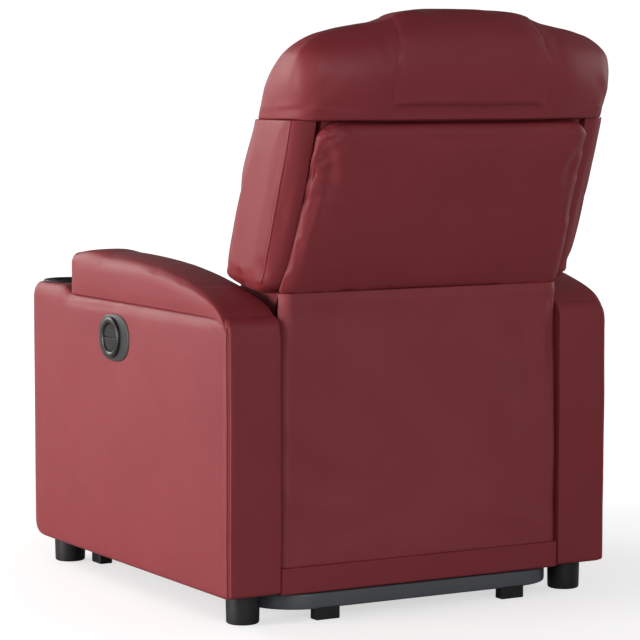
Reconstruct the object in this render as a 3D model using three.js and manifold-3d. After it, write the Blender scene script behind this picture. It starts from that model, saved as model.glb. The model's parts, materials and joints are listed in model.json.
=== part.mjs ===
// Lift recliner chair: a padded armchair with a reclining back and a fold-out footrest,
// carried on a steel base by a pair of four-bar linkages that raise it and tip it forwards.
// Millimetres, +Z up. The sitter faces -Y and the sitter's left is +X.
// The origin is on the floor, under the middle of the chair.
import * as THREE from 'three';
import { mergeVertices } from 'three/addons/utils/BufferGeometryUtils.js';
import Module from 'manifold-3d';

const wasm = await Module();
wasm.setup();

// ---------- driving dimensions ----------
const gap = 0.4; // between touching pieces
const pinPlay = 0.4; // radial play of a pin in its own hole
const rearY = 322; // rear face of the arms
const frontY = -475; // front face of the arms

const arm = { innerX: 280, outerX: 385, bottomZ: 49, seamZ: 521, frontTopZ: 534, seamFrontY: -307 };
const cup = { x: 330, y: -416, outerRadius: 42.6, innerRadius: 38.5, rimRadius: 48, floorZ: 456, rimZ: 538 };
const control = { y: -102, z: 455, halfLength: 61, halfHeight: 42, thickness: 2.7 };
const dial = { y: -110, z: 455, outerRadius: 37, innerRadius: 25.2, height: 5.2, buttonRadius: 24, pocketDepth: 17 };
const foot = { radius: 29, height: 48.7, x: 328, frontY: -425, rearY: 272 };

const rail = { innerX: 272, outerX: 297, bottomZ: 23, topZ: 47, frontY: -390, bendRadius: 90 };
const block = { height: 22.6, rearX: 188, rearLength: 48, rearWidth: 20, frontX: [275, 302], frontLength: 36 };
const railEndY = rearY - 4; // rear face of the base
const pinRadius = { lift: 7, liftChair: 5.6, frontLink: 6, small: 5 };

// pivots of the mechanism in the side view, as [y, z]
const lift = { basePivot: [-140, 90], chairPivot: [200, 122], tube: [60, 165], tubeRadius: 12, crankPin: [-140, 150] };
const frontLink = { basePivot: [-228, 66], chairPivot: [0, 81], openHoleRadius: 8 };
const liftMotor = { pivot: [200, 110], length: 344.3, angle: -7.18, tubeRadius: 16, rodRadius: 8 };
const reclineMotor = { pivot: [-225, 235], length: 424.3, angle: 1.12, tubeRadius: 14, rodRadius: 7 };
const backPivot = [172, 330];
const backCrankPin = [200, 245];
const footrest = { chairPivot: [-300, 300], knee: [-313, 151], boardPivot: [-395, 340] };

// planes across the chair, each from its inner to its outer face, in |x|
const plane = {
  basePlate: [267, 273],
  liftArm: [259, 264],
  sidePlate: [250, 256],
  innerLink: [240, 246],
  upperLink: [231, 237],
  boardEar: [222, 228],
  crank: [18, 26],
};

// ---------- materials ----------
const finish = (color, roughness, metalness = 0) => new THREE.MeshStandardMaterial({ color, roughness, metalness });
const upholstery = finish(0x7c3439, 0.42);
const lining = finish(0x5d272b, 0.6);
const paintedSteel = finish(0x3a3b3d, 0.5, 0.6);
const zincSteel = finish(0x9a9c9e, 0.4, 0.9);
const blackPlastic = finish(0x1d1d1e, 0.55);
const greyPlastic = finish(0x5f5f61, 0.5);
const plywood = finish(0xb98f5e, 0.7);
const webbing = finish(0x2a2a2c, 0.9);

// ---------- geometry helpers ----------
// A shape drawn in the side view (its x is the chair's Y, its y is the chair's Z), carried along X.
const sideViewToChair = new THREE.Matrix4().makeBasis(
  new THREE.Vector3(0, 1, 0), new THREE.Vector3(0, 0, 1), new THREE.Vector3(1, 0, 0));

function extruded(shape, length, bevel, curveSegments) {
  return new THREE.ExtrudeGeometry(shape, {
    depth: length - 2 * bevel, steps: 1, curveSegments, bevelEnabled: bevel > 0,
    bevelThickness: bevel, bevelSize: bevel, bevelOffset: -bevel, bevelSegments: bevel > 5 ? 2 : 1,
  }).translate(0, 0, bevel);
}

function alongX(shape, xA, xB, bevel = 0, curveSegments = 4) {
  const [low, high] = [Math.min(xA, xB), Math.max(xA, xB)];
  return extruded(shape, high - low, bevel, curveSegments).translate(0, 0, low).applyMatrix4(sideViewToChair);
}

function alongZ(shape, lowZ, highZ, curveSegments = 8) {
  return extruded(shape, highZ - lowZ, 0, curveSegments).translate(0, 0, lowZ);
}

function block3(xA, xB, yA, yB, zA, zB, bevel = 0) {
  const shape = new THREE.Shape([[yA, zA], [yB, zA], [yB, zB], [yA, zB]].map((p) => new THREE.Vector2(...p)));
  return alongX(shape, xA, xB, bevel);
}

// A round pin or tube along X, centred on a side-view point.
function pinAlongX([y, z], radius, xA, xB, sides = 12) {
  const shape = new THREE.Shape().absarc(y, z, radius, 0, 2 * Math.PI);
  return alongX(shape, xA, xB, 0, sides / 2); // an arc takes two steps for each curve segment
}

// The outline that a belt would take round some circles, each given as [y, z, radius].
function beltShape(circles, sides = 12) {
  const points = circles.flatMap(([y, z, radius]) => Array.from({ length: sides }, (_, i) => {
    const angle = (2 * Math.PI * i) / sides;
    return [y + radius * Math.cos(angle), z + radius * Math.sin(angle)];
  })).sort((a, b) => a[0] - b[0] || a[1] - b[1]);
  const turn = (o, a, b) => (a[0] - o[0]) * (b[1] - o[1]) - (a[1] - o[1]) * (b[0] - o[0]);
  const halfHull = (list) => list.reduce((hull, point) => {
    while (hull.length > 1 && turn(hull.at(-2), hull.at(-1), point) <= 0.001) hull.pop();
    return [...hull, point];
  }, []).slice(0, -1);
  const hull = [...halfHull(points), ...halfHull([...points].reverse())];
  return new THREE.Shape(hull.map((p) => new THREE.Vector2(...p)));
}

function toSolid(geometry) {
  const bare = geometry.clone();
  bare.deleteAttribute('normal');
  bare.deleteAttribute('uv');
  const merged = mergeVertices(bare, 1e-3);
  return new wasm.Manifold(new wasm.Mesh({
    numProp: 3,
    vertProperties: new Float32Array(merged.attributes.position.array),
    triVerts: new Uint32Array(merged.index.array),
  }));
}

function fromSolid(solid) {
  const { vertProperties, triVerts } = solid.getMesh();
  const geometry = new THREE.BufferGeometry();
  geometry.setAttribute('position', new THREE.BufferAttribute(vertProperties, 3));
  geometry.setIndex(new THREE.BufferAttribute(triVerts, 1));
  return geometry;
}

// Joins the first list of geometries and then cuts the second list out of it.
function built(joined, cut = []) {
  const body = joined.map(toSolid).reduce((sum, piece) => sum.add(piece));
  return fromSolid(cut.map(toSolid).reduce((rest, piece) => rest.subtract(piece), body));
}

function turned(profile, sides = 20) {
  return new THREE.LatheGeometry(profile.map((p) => new THREE.Vector2(...p)), sides);
}

const model = new THREE.Group();
function add(name, geometry, material, group = model) {
  const mesh = new THREE.Mesh(geometry, material);
  mesh.name = name;
  group.add(mesh);
  return mesh;
}

const sides = [['left', 1], ['right', -1]];
const across = (range, side) => range.map((x) => x * side);

// ---------- base: bent tube, pivot plates, floor blocks ----------
function baseRail(side) {
  const { basePivot: rearPin } = lift;
  const { basePivot: frontPin } = frontLink;
  const tube = block3(side * rail.innerX, side * rail.outerX,
    rail.frontY, railEndY - rail.bendRadius, rail.bottomZ, rail.topZ, 2);
  const plate = beltShape([[...frontPin, 16], [...rearPin, 18], [-250, 30, 6], [-118, 30, 6]]);
  return built([
    tube,
    alongX(plate, ...across(plane.basePlate, side)),
    pinAlongX(frontPin, pinRadius.frontLink, side * 268, side * (plane.innerLink[0] - 1)),
    pinAlongX(rearPin, pinRadius.lift, side * 268, side * (plane.liftArm[0] - 1)),
  ]);
}

function baseRearBar() {
  const endY = railEndY - rail.bendRadius + gap;
  const centreX = rail.outerX - rail.bendRadius;
  const innerRadius = rail.bendRadius - (rail.outerX - rail.innerX);
  const outline = new THREE.Shape();
  outline.moveTo(rail.outerX, endY);
  outline.absarc(centreX, endY, rail.bendRadius, 0, Math.PI / 2);
  outline.absarc(-centreX, endY, rail.bendRadius, Math.PI / 2, Math.PI);
  outline.lineTo(-rail.innerX, endY);
  outline.absarc(-centreX, endY, innerRadius, Math.PI, Math.PI / 2, true);
  outline.absarc(centreX, endY, innerRadius, Math.PI / 2, 0, true);
  outline.closePath();
  return alongZ(outline, rail.bottomZ, rail.topZ);
}

function liftMotorBracket() {
  const [pivotY, pivotZ] = liftMotor.pivot;
  const seatZ = rail.topZ + gap;
  const cheek = new THREE.Shape([[186, seatZ], [306, seatZ], [294, 62], [214, pivotZ + 14], [186, pivotZ + 14]]
    .map((p) => new THREE.Vector2(...p)));
  return built([
    block3(-33, 33, 186, 306, seatZ, seatZ + 5),
    alongX(cheek, -33, -28),
    alongX(cheek, 28, 33),
    pinAlongX([pivotY, pivotZ], pinRadius.small, -30, 30),
  ]);
}

for (const [name, side] of sides) {
  add(`base_rail_${name}`, baseRail(side), paintedSteel);
  const rearX = side * block.rearX;
  add(`rear_floor_block_${name}`, block3(rearX - block.rearLength / 2, rearX + block.rearLength / 2,
    railEndY - block.rearWidth, railEndY, 0, block.height, 2), blackPlastic);
  add(`front_floor_block_${name}`, block3(...across(block.frontX, side),
    rail.frontY + 5, rail.frontY + 5 + block.frontLength, 0, block.height, 2), blackPlastic);
}
add('base_rear_bar', baseRearBar(), paintedSteel);
add('lift_motor_bracket', liftMotorBracket(), paintedSteel);

// ---------- lift arms, their cross tube and the front links ----------
for (const [name, side] of sides) {
  const armShape = beltShape([[...lift.basePivot, 16], [...lift.chairPivot, 14], [...lift.tube, 16]]);
  add(`lift_arm_${name}`, built(
    [alongX(armShape, ...across(plane.liftArm, side)),
      pinAlongX(lift.chairPivot, pinRadius.liftChair, side * (plane.liftArm[0] + 1), side * (plane.sidePlate[0] - 1))],
    [pinAlongX(lift.basePivot, pinRadius.lift + pinPlay, side * 255, side * 270)],
  ), paintedSteel);
  const linkShape = beltShape([[...frontLink.basePivot, 12], [...frontLink.chairPivot, 14]]);
  add(`front_link_${name}`, built(
    [alongX(linkShape, ...across(plane.innerLink, side))],
    [pinAlongX(frontLink.basePivot, pinRadius.frontLink + pinPlay, side * 236, side * 250),
      pinAlongX(frontLink.chairPivot, frontLink.openHoleRadius, side * 236, side * 250)],
  ), paintedSteel);
}
add('lift_cross_tube', built([
  pinAlongX(lift.tube, lift.tubeRadius, gap - plane.liftArm[0], plane.liftArm[0] - gap, 16),
  alongX(beltShape([[...lift.tube, 16], [...lift.crankPin, 12]]), ...plane.crank),
  pinAlongX(lift.crankPin, pinRadius.small, -9, plane.crank[0] + 1),
]), paintedSteel);

// ---------- linear actuators ----------
// Each is drawn with its rear pivot at the origin and its rod along +Y, then turned into place.
function actuatorBody({ tubeRadius, rodRadius }, tubeLength, motorSide) {
  const bore = rodRadius + 0.6;
  const tube = turned([[bore, 40], [tubeRadius, 40], [tubeRadius, tubeLength], [bore, tubeLength], [bore, 40]], 20);
  const lug = alongX(beltShape([[0, 0, 12], [30, 0, 12]]), -14, 14);
  const gearbox = block3(-22, 22, 26, 60, Math.min(-18, motorSide * 66), Math.max(18, motorSide * 66), 2);
  const motor = turned([[0, 58], [22, 58], [22, 146], [18, 150], [0, 150]], 20).translate(0, 0, motorSide * 42);
  return built([tube, lug, gearbox, motor], [pinAlongX([0, 0], pinRadius.small + pinPlay, -20, 20)]);
}

function actuatorRod({ length, rodRadius }, startY, eyeRadius, holeRadius) {
  const rod = turned([[0, startY], [rodRadius, startY], [rodRadius, length - eyeRadius + 2],
    [0, length - eyeRadius + 2]], 20);
  const eye = pinAlongX([length, 0], eyeRadius, -6, 6, 20);
  return built([rod, eye], [pinAlongX([length, 0], holeRadius, -8, 8, 20)]);
}

const liftMotorGroup = new THREE.Group();
liftMotorGroup.position.set(0, ...liftMotor.pivot);
liftMotorGroup.rotation.x = THREE.MathUtils.degToRad(180 + liftMotor.angle);
model.add(liftMotorGroup);
add('lift_motor', actuatorBody(liftMotor, 255, 1), blackPlastic, liftMotorGroup);
add('lift_rod', actuatorRod(liftMotor, 110, 17, 10.5), zincSteel, liftMotorGroup);

const reclineMotorGroup = new THREE.Group();
reclineMotorGroup.position.set(0, ...reclineMotor.pivot);
reclineMotorGroup.rotation.x = THREE.MathUtils.degToRad(reclineMotor.angle);
model.add(reclineMotorGroup);
add('recline_motor', actuatorBody(reclineMotor, 300, 1), blackPlastic, reclineMotorGroup);
add('recline_rod', actuatorRod(reclineMotor, 190, 14, 8.5), zincSteel, reclineMotorGroup);

// ---------- seat chassis ----------
function sidePlate(side) {
  const [linkY, linkZ] = frontLink.chairPivot;
  const [pivotY, pivotZ] = lift.chairPivot;
  const [restY, restZ] = footrest.chairPivot;
  const outline = new THREE.Shape();
  outline.moveTo(linkY - 14, 180);
  outline.absarc(linkY, linkZ, 14, Math.PI, 2 * Math.PI);
  outline.lineTo(34, 187); // the notch that the cross tube drops through
  outline.lineTo(86, 187);
  outline.absarc(pivotY, pivotZ, 14, 1.1 * Math.PI, 2 * Math.PI);
  outline.lineTo(293, 146);
  outline.lineTo(293, 200);
  outline.absarc(...backPivot, 21, 0.1 * Math.PI, 0.85 * Math.PI);
  outline.lineTo(110, 262);
  outline.lineTo(-255, 262);
  outline.absarc(restY, restZ, 12, 0.2 * Math.PI, Math.PI);
  outline.lineTo(restY - 10, 235);
  outline.lineTo(-262, 196);
  outline.closePath();
  const reach = [side * 245, side * 260];
  return built(
    [alongX(outline, ...across(plane.sidePlate, side)),
      pinAlongX(frontLink.chairPivot, pinRadius.small, side * (plane.sidePlate[0] + 1), side * (plane.innerLink[0] - 1))],
    [pinAlongX(lift.chairPivot, pinRadius.liftChair + pinPlay, ...reach), pinAlongX(backPivot, 13, ...reach),
      pinAlongX(footrest.chairPivot, pinRadius.small + pinPlay, ...reach)],
  );
}

function seatFrontRail() {
  const [pivotY, pivotZ] = reclineMotor.pivot;
  const cheek = beltShape([[pivotY, pivotZ, 12], [-268, pivotZ + 12, 6], [-268, pivotZ - 12, 6]]);
  return built([
    block3(-249.5, 249.5, -286, -263, 206, 338, 2),
    alongX(cheek, -21, -15.5),
    alongX(cheek, 15.5, 21),
    pinAlongX([pivotY, pivotZ], pinRadius.small, -18, 18),
  ]);
}

for (const [name, side] of sides) add(`side_plate_${name}`, sidePlate(side), paintedSteel);
add('seat_front_rail', seatFrontRail(), paintedSteel);
add('seat_rear_rail', block3(-249.5, 249.5, 268, 290, 150, 185, 2), paintedSteel);
add('seat_deck', block3(-249.5, 249.5, -284, 148, 339, 348, 1), webbing);
add('power_box', block3(-190, -90, 20, 120, 285, 332, 5), blackPlastic);

// ---------- arms, pads, cup holders, feet ----------
function armBox(side) {
  const bottomRound = 50;
  const rearRound = 22;
  const frontRound = 40;
  const outline = new THREE.Shape();
  outline.moveTo(frontY + bottomRound, arm.bottomZ);
  outline.lineTo(rearY - rearRound, arm.bottomZ);
  outline.absarc(rearY - rearRound, arm.bottomZ + rearRound, rearRound, -Math.PI / 2, 0);
  outline.lineTo(rearY, 470);
  outline.bezierCurveTo(rearY, 495, rearY - 10, 512, rearY - 25, arm.seamZ);
  outline.lineTo(arm.seamFrontY, arm.seamZ);
  outline.lineTo(arm.seamFrontY - 3, arm.frontTopZ - 3);
  outline.absarc(frontY + frontRound, arm.frontTopZ - frontRound, frontRound, Math.PI / 2, Math.PI);
  outline.absarc(frontY + bottomRound, arm.bottomZ + bottomRound, bottomRound, Math.PI, 1.5 * Math.PI);
  const cutter = turned([[0, 0], [cup.outerRadius + gap, 0], [cup.outerRadius + gap, 140], [0, 140]])
    .rotateX(Math.PI / 2).translate(side * cup.x, cup.y, cup.floorZ - 4 - gap);
  const pocket = pinAlongX([dial.y, dial.z], dial.innerRadius, arm.outerX - dial.pocketDepth, arm.outerX + 5, 24);
  return built([alongX(outline, side * arm.innerX, side * arm.outerX, 8)], side > 0 ? [cutter, pocket] : [cutter]);
}

function armPad(side) {
  const outline = new THREE.Shape();
  outline.moveTo(rearY - 36, arm.seamZ + gap);
  outline.lineTo(rearY - 33, 530);
  outline.bezierCurveTo(262, 545, 230, 556, 142, 574);
  outline.bezierCurveTo(40, 594, -150, 602, -270, 598);
  outline.bezierCurveTo(-296, 597, -304, 588, -305, 572);
  outline.lineTo(-301, arm.seamZ + gap);
  outline.closePath();
  return alongX(outline, side * arm.innerX, side * arm.outerX, 3, 4);
}

function cupHolder(side) {
  const { outerRadius, innerRadius, rimRadius, floorZ, rimZ } = cup;
  const profile = [[0, floorZ - 4], [outerRadius - 5, floorZ - 4], [outerRadius, floorZ + 1],
    [outerRadius, arm.frontTopZ + gap], [rimRadius, arm.frontTopZ + gap], [rimRadius - 1.5, rimZ],
    [innerRadius + 1.5, rimZ], [innerRadius, rimZ - 3], [innerRadius, floorZ], [0, floorZ]];
  return turned(profile).rotateX(Math.PI / 2).translate(side * cup.x, cup.y, 0);
}

for (const [name, side] of sides) {
  add(`arm_${name}`, armBox(side), upholstery);
  add(`arm_pad_${name}`, armPad(side), upholstery);
  add(`cup_holder_${name}`, cupHolder(side), blackPlastic);
  for (const [end, y] of [['front', foot.frontY], ['rear', foot.rearY]]) {
    const profile = [[0, 0], [foot.radius - 6, 0], [foot.radius - 1.5, 2], [foot.radius, 7],
      [foot.radius, foot.height - 2], [foot.radius - 2, foot.height], [0, foot.height]];
    add(`${end}_foot_${name}`, turned(profile).rotateX(Math.PI / 2).translate(side * foot.x, y, 0), blackPlastic);
  }
}

// ---------- control on the left arm ----------
function controlPlate() {
  const outline = new THREE.Shape().absellipse(control.y, control.z, control.halfLength, control.halfHeight,
    0, 2 * Math.PI);
  outline.holes.push(new THREE.Path().absarc(dial.y, dial.z, dial.innerRadius, 0, 2 * Math.PI));
  return alongX(outline, arm.outerX + gap, arm.outerX + gap + control.thickness, 0, 14);
}

function controlRing() {
  const { innerRadius: inner, outerRadius: outer, height } = dial;
  const faceX = arm.outerX + gap + control.thickness + gap;
  return turned([[inner, 0], [outer, 0], [outer - 0.6, height * 0.5], [outer - 4, height * 0.92], [outer - 6.5, height],
    [inner + 2, height], [inner, height - 2], [inner, 0]]).rotateZ(-Math.PI / 2).translate(faceX, dial.y, dial.z);
}

function halfButton(sign) {
  const outline = new THREE.Shape().absarc(0, sign * 0.5, dial.buttonRadius, 0, sign * Math.PI, sign < 0);
  return alongX(outline, arm.outerX - 5, arm.outerX + 6.2, 1, 8).translate(0, dial.y, dial.z);
}

add('control_plate', controlPlate(), greyPlastic);
add('control_ring', controlRing(), greyPlastic);
add('raise_button', halfButton(1), greyPlastic);
add('lower_button', halfButton(-1), greyPlastic);

// ---------- seat cushion and the lower rear covers ----------
function seatCushion() {
  const outline = new THREE.Shape();
  outline.moveTo(148, 354);
  outline.lineTo(-291, 354);
  outline.lineTo(-291, 408);
  outline.lineTo(-446, 408);
  outline.bezierCurveTo(-472, 412, -480, 440, -477, 466);
  outline.bezierCurveTo(-474, 490, -455, 503, -425, 505);
  outline.bezierCurveTo(-250, 508, -60, 490, 148, 478);
  outline.closePath();
  return alongX(outline, -277, 277, 14);
}
add('seat_cushion', seatCushion(), upholstery);
add('rear_strip', block3(-279.4, 279.4, 308, rearY - 0.4, 52, 94, 3), upholstery);
add('rear_cover', block3(-278, 278, 317.5, 321.5, 95, 546), upholstery);

// ---------- reclining back ----------
// Its rear plane leans back: y against z, shared by the wings and the back panel.
const leanLine = [[327, 600], [349, 650], [367, 700], [386, 750], [404, 800], [416, 843]];

function wing(side) {
  const outline = new THREE.Shape();
  outline.moveTo(176, 580);
  outline.quadraticCurveTo(160, 588, 167, 606);
  outline.splineThru([[192, 662], [215, 725], [245, 795], [274, 843]].map((p) => new THREE.Vector2(...p)));
  outline.lineTo(...leanLine.at(-1));
  for (const [y, z] of leanLine.slice(0, -1).reverse()) outline.lineTo(y, z);
  outline.bezierCurveTo(320, 570, 300, 558, 270, 560);
  outline.closePath();
  return alongX(outline, side * 268.5, side * 310, 6, 3);
}

function backPanel() {
  const proud = [16, 17, 19, 19, 24, 31]; // how far the panel's rear face stands behind the lean line
  const outline = new THREE.Shape();
  outline.moveTo(308, 552);
  outline.lineTo(322, 550);
  leanLine.forEach(([y, z], i) => outline.lineTo(y + proud[i], z));
  for (const [y, z] of [...leanLine].reverse()) outline.lineTo(y + 0.8, z);
  outline.closePath();
  return alongX(outline, -268, 268, 4);
}

function backCushion() {
  const outline = new THREE.Shape();
  outline.moveTo(240, 502);
  outline.lineTo(134, 502);
  outline.bezierCurveTo(96, 506, 102, 560, 116, 610);
  outline.bezierCurveTo(140, 700, 180, 780, 226, 845);
  outline.lineTo(380, 845);
  outline.lineTo(296, 610);
  outline.bezierCurveTo(285, 560, 270, 510, 240, 502);
  return alongX(outline, -256, 256, 12);
}

function headSide(side) {
  const outline = new THREE.Shape();
  outline.moveTo(270, 852);
  outline.bezierCurveTo(290, 886, 330, 946, 376, 984);
  outline.bezierCurveTo(392, 997, 420, 990, 436, 968);
  outline.bezierCurveTo(452, 944, 456, 920, 448, 893);
  outline.lineTo(434, 852);
  outline.closePath();
  return alongX(outline, side * 152.5, side * 310, 8, 4);
}

function headPillow() {
  const outline = new THREE.Shape();
  outline.moveTo(240, 852);
  outline.bezierCurveTo(222, 880, 236, 920, 268, 950);
  outline.bezierCurveTo(300, 985, 352, 1030, 422, 1030);
  outline.bezierCurveTo(456, 1028, 476, 978, 483, 936);
  outline.bezierCurveTo(482, 905, 462, 880, 452, 850);
  outline.closePath();
  return alongX(outline, -152, 152, 12);
}

for (const [name, side] of sides) {
  const upright = (circles) => alongX(beltShape(circles), ...across(plane.liftArm, side));
  add(`back_upright_${name}`, built([
    upright([[...backPivot, 18], [262, 545, 14]]),
    upright([[262, 545, 14], [372, 828, 13]]),
  ]), paintedSteel);
  add(`wing_${name}`, wing(side), upholstery);
  add(`head_side_${name}`, headSide(side), upholstery);
}
add('back_hinge_tube', built([
  pinAlongX(backPivot, 12, gap - plane.liftArm[0], plane.liftArm[0] - gap, 16),
  alongX(beltShape([[...backPivot, 16], [...backCrankPin, 11]]), ...plane.crank),
  pinAlongX(backCrankPin, pinRadius.small, -9, plane.crank[0] + 1),
]), paintedSteel);
add('back_top_rail', block3(-258.6, 258.6, 378, 400, 796, 820, 2), plywood);
add('back_panel', backPanel(), upholstery);
add('back_cushion', backCushion(), upholstery);
add('head_pillow', headPillow(), upholstery);

// ---------- footrest: folding links, board and pad ----------
for (const [name, side] of sides) {
  const { chairPivot, knee, boardPivot } = footrest;
  add(`footrest_lower_link_${name}`, built([
    alongX(beltShape([[...chairPivot, 10], [...knee, 10]]), ...across(plane.innerLink, side)),
    pinAlongX(chairPivot, pinRadius.small, side * (plane.innerLink[1] - 1), side * (plane.sidePlate[1] + 1)),
    pinAlongX(knee, pinRadius.small, side * (plane.innerLink[0] + 1), side * (plane.upperLink[0] - 1)),
  ]), paintedSteel);
  const reach = [side * 228, side * 240];
  add(`footrest_upper_link_${name}`, built(
    [alongX(beltShape([[...knee, 11], [...boardPivot, 11]]), ...across(plane.upperLink, side))],
    [knee, boardPivot].map((pivot) => pinAlongX(pivot, pinRadius.small + pinPlay, ...reach)),
  ), paintedSteel);
}

function footrestBoard() {
  const { boardPivot } = footrest;
  const ear = beltShape([[...boardPivot, 12], [-416, 318, 4], [-416, 362, 4]]);
  const pieces = sides.flatMap(([, side]) => [
    alongX(ear, ...across(plane.boardEar, side)),
    pinAlongX(boardPivot, pinRadius.small, side * (plane.boardEar[1] - 1), side * (plane.upperLink[1] + 1)),
  ]);
  return built([block3(-268, 268, -423, -411, 80, 386, 2), ...pieces]);
}
add('footrest_board', footrestBoard(), plywood);
add('footrest_pad', block3(-274, 274, -483, -423.4, 75, 391, 16), upholstery);

export default model;
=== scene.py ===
import math
import bpy
import numpy as np
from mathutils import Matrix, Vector
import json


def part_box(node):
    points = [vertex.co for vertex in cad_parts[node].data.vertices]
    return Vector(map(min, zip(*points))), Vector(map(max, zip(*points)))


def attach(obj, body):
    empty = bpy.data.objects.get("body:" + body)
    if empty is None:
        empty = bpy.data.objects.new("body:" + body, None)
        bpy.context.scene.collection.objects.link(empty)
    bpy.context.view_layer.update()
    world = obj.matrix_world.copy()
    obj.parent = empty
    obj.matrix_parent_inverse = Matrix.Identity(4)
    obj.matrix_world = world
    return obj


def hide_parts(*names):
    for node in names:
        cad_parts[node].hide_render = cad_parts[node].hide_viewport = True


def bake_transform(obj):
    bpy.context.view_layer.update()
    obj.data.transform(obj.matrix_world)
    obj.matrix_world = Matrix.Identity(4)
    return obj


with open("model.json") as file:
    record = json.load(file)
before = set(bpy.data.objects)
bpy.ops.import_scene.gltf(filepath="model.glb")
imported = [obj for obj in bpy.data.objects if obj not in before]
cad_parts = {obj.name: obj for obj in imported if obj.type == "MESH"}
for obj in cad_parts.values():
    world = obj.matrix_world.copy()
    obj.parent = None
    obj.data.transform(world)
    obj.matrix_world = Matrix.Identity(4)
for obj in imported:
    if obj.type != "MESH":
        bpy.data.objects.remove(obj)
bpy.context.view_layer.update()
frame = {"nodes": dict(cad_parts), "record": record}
scene = bpy.context.scene
print("frame loaded,", len(frame["nodes"]), "nodes")


# Camera, floor and light. Lengths here are metres and angles are degrees.

cameraSet = {"place": (2.475, 4.290, 0.924), "turn": 29.76, "dip": 5.155, "lens": 153.85, "sensor": 36}


def makeCamera():
    turn, dip = math.radians(cameraSet["turn"]), math.radians(cameraSet["dip"])
    ahead = Vector((-math.sin(turn) * math.cos(dip), -math.cos(turn) * math.cos(dip), -math.sin(dip)))
    camera = bpy.data.objects.new("camera", bpy.data.cameras.new("camera"))
    camera.data.lens = cameraSet["lens"]
    camera.data.sensor_width = cameraSet["sensor"]
    camera.data.clip_end = 60
    camera.location = cameraSet["place"]
    camera.rotation_mode = "QUATERNION"
    camera.rotation_quaternion = ahead.to_track_quat("-Z", "Y")
    scene.collection.objects.link(camera)
    scene.camera = camera


lightSet = {
    "key": {"place": (4.3, -0.5, 0.85), "size": 2.0, "power": 168, "hex": "#fffaf7"},
    "behind": {"place": (0.9, 4.1, 1.7), "size": 2.4, "power": 56, "hex": "#fafaff"},
    "front": {"place": (2.0, -3.9, 1.9), "size": 2.4, "power": 90, "hex": "#fffdfa"},
    "side": {"place": (-4.2, 0.2, 1.4), "size": 2.0, "power": 40, "hex": "#ffffff"},
}
airSet = {"hex": "#ffffff", "seen": 1.05, "level": 0.40, "overhead": 0.10, "floorHalf": 14}


def linear(hexColour):  # sRGB hex to linear light, with alpha
    parts = [int(hexColour[i:i + 2], 16) / 255 for i in (1, 3, 5)]
    return [p / 12.92 if p <= 0.04045 else ((p + 0.055) / 1.055) ** 2.4 for p in parts] + [1]


def makeLights():
    for name, facts in lightSet.items():
        lamp = bpy.data.lights.new("light_" + name, "AREA")
        lamp.shape = "DISK"
        lamp.size = facts["size"]
        lamp.energy = facts["power"]
        lamp.color = linear(facts["hex"])[:3]
        light = bpy.data.objects.new("light_" + name, lamp)
        light.location = facts["place"]
        light.rotation_mode = "QUATERNION"
        light.rotation_quaternion = (Vector((0, 0, 0.5)) - light.location).to_track_quat("-Z", "Y")
        scene.collection.objects.link(light)
    world = bpy.data.worlds.new("air")
    world.use_nodes = True
    tree = world.node_tree
    tree.nodes.clear()
    # the backdrop is seen white, and gives a dimmer light that fades from the level to overhead
    ray = addNode(tree, "ShaderNodeLightPath").outputs["Is Camera Ray"]
    direction = addNode(tree, "ShaderNodeTexCoord").outputs["Generated"]
    upward = addNode(tree, "ShaderNodeSeparateXYZ", {0: direction})
    fade = addNode(tree, "ShaderNodeMapRange", {"Value": upward.outputs["Z"], "From Max": 0.8,
                   "To Min": airSet["level"], "To Max": airSet["overhead"]})
    lit, seen = (addNode(tree, "ShaderNodeBackground", {"Color": linear(airSet["hex"]), "Strength": strength})
                 for strength in (fade, airSet["seen"]))
    mixed = addNode(tree, "ShaderNodeMixShader", {0: ray, 1: lit, 2: seen})
    addNode(tree, "ShaderNodeOutputWorld", {"Surface": mixed})
    scene.world = world
    scene.view_settings.view_transform = "Standard"


# Materials: addNode makes any node, with its settings and its links. An input that is a node means its first
# output.
def addNode(tree, kind, inputs=None, **settings):
    node = tree.nodes.new(kind)
    for key, value in settings.items():
        setattr(node, key, value)
    for key, value in (inputs or {}).items():
        if isinstance(value, bpy.types.Node):
            value = value.outputs[0]
        if isinstance(value, bpy.types.NodeSocket):
            tree.links.new(value, node.inputs[key])
        else:
            node.inputs[key].default_value = value
    return node


def newMaterial(name):
    material = bpy.data.materials.new(name)
    material.use_nodes = True
    tree = material.node_tree
    tree.nodes.clear()
    place = addNode(tree, "ShaderNodeTexCoord").outputs["Object"]
    return material, tree, place


# Ends a material: colour and roughness from sockets or numbers, and a relief raised from a height pattern.
def closeMaterial(tree, colour, rough, height, strength, distance, under=None, **more):
    sockets = {"Height": height, "Strength": strength, "Distance": distance}
    relief = addNode(tree, "ShaderNodeBump", {**sockets, "Normal": under} if under else sockets)
    inputs = {"Base Color": colour, "Roughness": rough, "Normal": relief}
    shader = addNode(tree, "ShaderNodeBsdfPrincipled", {**inputs, **more})
    addNode(tree, "ShaderNodeOutputMaterial", {"Surface": shader})


def blended(tree, factor, first, second):  # two hex colours mixed by a 0 to 1 value
    ramp = addNode(tree, "ShaderNodeValToRGB", {"Fac": factor})
    ramp.color_ramp.elements[0].color = linear(first)
    ramp.color_ramp.elements[1].color = linear(second)
    return ramp


leatherGloss = {"Coat Weight": 0.04, "Coat Roughness": 0.38, "Specular IOR Level": 0.3, "IOR": 1.5}


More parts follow.
